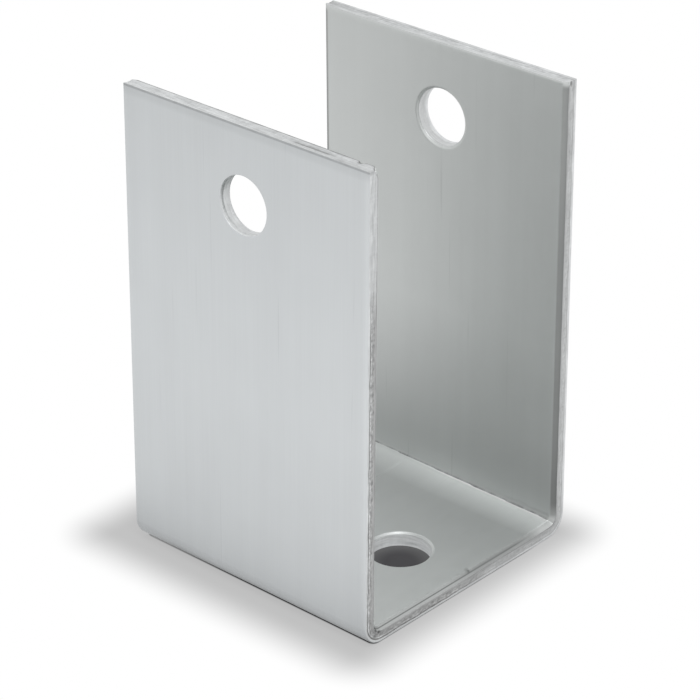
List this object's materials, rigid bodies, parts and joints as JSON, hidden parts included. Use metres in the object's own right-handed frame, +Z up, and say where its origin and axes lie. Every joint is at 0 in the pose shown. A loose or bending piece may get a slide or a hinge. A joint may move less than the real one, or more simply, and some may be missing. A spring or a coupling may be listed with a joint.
{
  "type": "u-bracket",
  "caption": "U-bracket folded from a strip of satin sheet steel, with a bolt hole through each flange and fixing holes in the base, to hold the edge of a panel.",
  "frame": {"origin": "middle of the base's underside", "axes": "+Z up the flanges, Y along the two folds, X across the gap from one flange to the other"},
  "size_m": [0.039, 0.04, 0.064],
  "materials": {
    "sheet_steel": "satin, cold-rolled, with sheared edges"
  },
  "bodies": {
    "root": {"u_bracket": "sheet_steel"}
  },
  "joints": []
}
